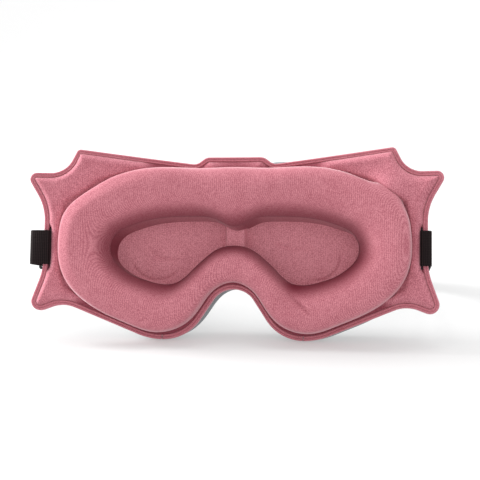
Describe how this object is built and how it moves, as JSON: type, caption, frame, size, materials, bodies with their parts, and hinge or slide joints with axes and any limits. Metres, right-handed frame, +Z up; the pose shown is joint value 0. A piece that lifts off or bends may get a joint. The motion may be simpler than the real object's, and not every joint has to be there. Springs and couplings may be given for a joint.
{
  "type": "sleep eye mask",
  "caption": "Contoured sleep eye mask: a puffy cushion ring round both eyes on a winged fabric flange, domed outer side, elastic head strap with a sliding adjuster.",
  "frame": {"origin": "centre of the bounding box at floor level, with the mask standing on its cheek lobes and leaning back on its strap", "axes": "+X to the viewer's right along the mask's width, +Y from the face side towards the back of the strap loop, +Z up"},
  "size_m": [0.2408, 0.157, 0.1089],
  "materials": {
    "ring_knit": "fine knit with a soft sheen",
    "face_heather": "brushed heather knit",
    "eye_fabric": "coarser brushed knit",
    "outer_fabric": "smooth grey knit",
    "foam": "soft foam, hidden",
    "strap_elastic": "woven elastic",
    "slider_plastic": "moulded black plastic",
    "thread": "polyester thread"
  },
  "bodies": {
    "mask": {"core_sheet": "foam", "edge_welt": "face_heather", "face_lining": "face_heather", "wing_foam_upper_left": "foam", "wing_foam_upper_right": "foam", "wing_foam_lower_left": "foam", "wing_foam_lower_right": "foam", "ring_cover": "ring_knit", "ring_foam": "foam", "eye_cup_liner": "eye_fabric", "front_foam": "foam", "front_cover": "outer_fabric"},
    "strap": {"strap_band": "strap_elastic", "strap_loop_left": "strap_elastic", "strap_loop_right": "strap_elastic", "bar_tack_right": "thread"},
    "adjuster": {"slider": "slider_plastic", "strap_folded_end": "strap_elastic", "strap_inner_run": "strap_elastic", "bar_tack_left": "thread"}
  },
  "joints": [
    {"name": "strap_swing", "type": "hinge", "parent": "mask", "child": "strap", "pos_m": [0, -0.05677, 0.05342], "axis": [1, 0, 0], "range_deg": [0, 50], "deforming": ["strap_loop_left", "strap_loop_right"]},
    {"name": "slider_travel", "type": "slide", "parent": "strap", "child": "adjuster", "axis": [0, 0.9489, -0.3156], "range_m": [0, 0.042], "deforming": ["strap_inner_run"]}
  ]
}
